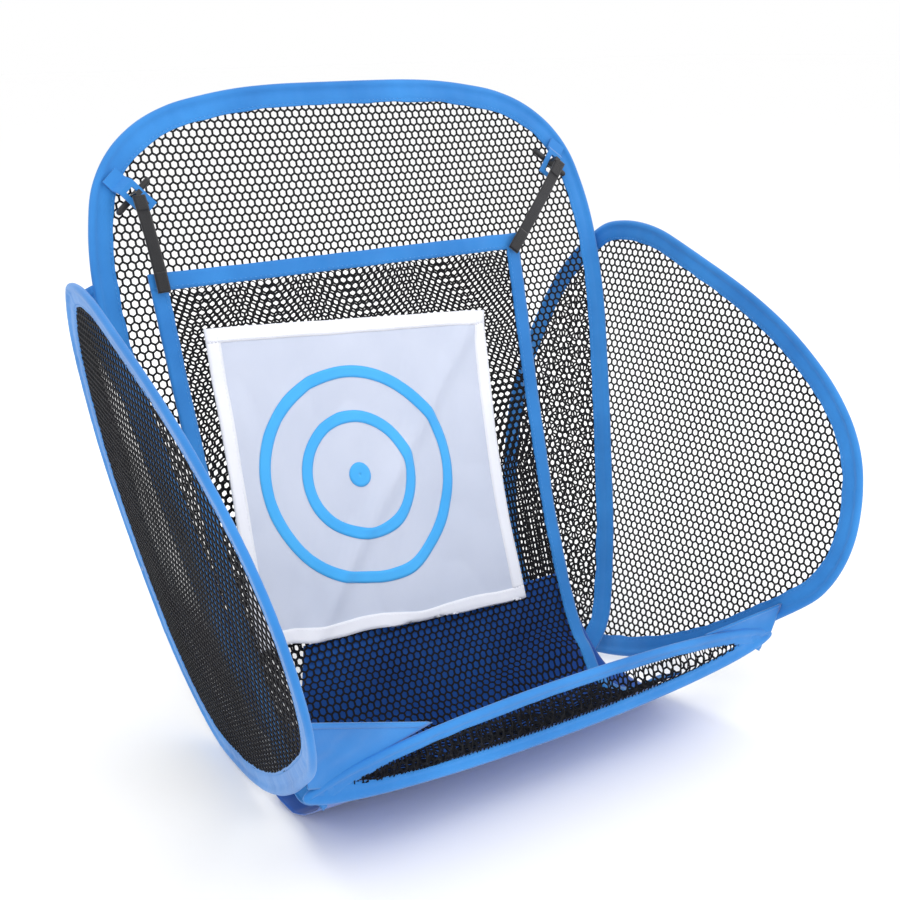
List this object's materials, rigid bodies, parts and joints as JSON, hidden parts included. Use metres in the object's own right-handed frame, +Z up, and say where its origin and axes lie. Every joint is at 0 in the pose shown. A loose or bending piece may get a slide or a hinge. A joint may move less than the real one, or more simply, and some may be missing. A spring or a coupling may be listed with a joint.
{
  "type": "folding golf practice net",
  "caption": "Pop-up golf chipping net: sprung wire loops in fabric sleeves, two folding wings, a front lip, a floor sheet and a target cloth on a sloping inner net.",
  "frame": {"origin": "on the ground under the middle of the flat part of the floor sheet's width, in the plane of symmetry of the four loops", "axes": "+Z up, +Y towards the back panel, +X to the right when facing the target"},
  "size_m": [0.5608, 0.4185, 0.546],
  "materials": {
    "sleeve_fabric": "bright blue woven polyester",
    "floor_fabric": "royal blue woven polyester",
    "net_mesh": "black hexagonal knitted net",
    "target_fabric": "thin white cloth with printed rings",
    "black_webbing": "flat woven webbing",
    "toggle_plastic": "black moulded plastic",
    "spring_steel": "drawn spring wire"
  },
  "bodies": {
    "back_frame": {"back_mesh": "net_mesh", "back_sleeve": "sleeve_fabric", "back_wire": "spring_steel", "back_wire_ferrule": "spring_steel", "floor_sheet": "floor_fabric", "inner_net": "net_mesh", "inner_net_left_binding": "sleeve_fabric", "inner_net_right_binding": "sleeve_fabric", "inner_net_top_binding": "sleeve_fabric", "left_front_gusset": "sleeve_fabric", "left_rear_gusset": "sleeve_fabric", "left_strap": "black_webbing", "left_webbing_loop": "sleeve_fabric", "right_front_gusset": "sleeve_fabric", "right_rear_gusset": "sleeve_fabric", "right_strap": "black_webbing", "right_webbing_loop": "sleeve_fabric", "target_cloth": "target_fabric"},
    "right_wing": {"right_wing_mesh": "net_mesh", "right_wing_sleeve": "sleeve_fabric", "right_wing_wire": "spring_steel", "right_wing_wire_ferrule": "spring_steel"},
    "left_wing": {"left_wing_mesh": "net_mesh", "left_wing_sleeve": "sleeve_fabric", "left_wing_wire": "spring_steel", "left_wing_wire_ferrule": "spring_steel"},
    "lip": {"lip_mesh": "net_mesh", "lip_sleeve": "sleeve_fabric", "lip_wire": "spring_steel", "lip_wire_ferrule": "spring_steel"},
    "right_toggle": {"right_toggle": "toggle_plastic"},
    "left_toggle": {"left_toggle": "toggle_plastic"}
  },
  "joints": [
    {"name": "right_wing_fold", "type": "hinge", "parent": "back_frame", "child": "right_wing", "pos_m": [0.1932, 0.019, 0], "axis": [-0.1737, -0.2864, -0.9422], "range_deg": [0, 80], "stiffness_Nm_per_rad": 0.05, "deforming": ["inner_net", "inner_net_left_binding", "inner_net_right_binding", "inner_net_top_binding", "target_cloth", "right_strap", "left_strap", "right_rear_gusset", "left_rear_gusset", "right_front_gusset", "left_front_gusset"]},
    {"name": "left_wing_fold", "type": "hinge", "parent": "back_frame", "child": "left_wing", "pos_m": [-0.1932, 0.019, 0], "axis": [-0.1737, 0.2864, 0.9422], "range_deg": [0, 72], "stiffness_Nm_per_rad": 0.05},
    {"name": "lip_fold", "type": "hinge", "parent": "back_frame", "child": "lip", "pos_m": [0, -0.116, 0.058], "axis": [1, 0, 0], "range_deg": [0, 80], "stiffness_Nm_per_rad": 0.05},
    {"name": "right_toggle_turn", "type": "hinge", "parent": "back_frame", "child": "right_toggle", "pos_m": [0.205, 0.16406, 0.46556], "axis": [0, -0.9563, 0.2924], "range_deg": [-20, 20]},
    {"name": "left_toggle_turn", "type": "hinge", "parent": "back_frame", "child": "left_toggle", "pos_m": [-0.205, 0.16406, 0.46556], "axis": [0, -0.9563, 0.2924], "range_deg": [-20, 20]}
  ],
  "couplings": [
    {"joint": "left_wing_fold", "follows": "right_wing_fold", "ratio": 0.9}
  ]
}
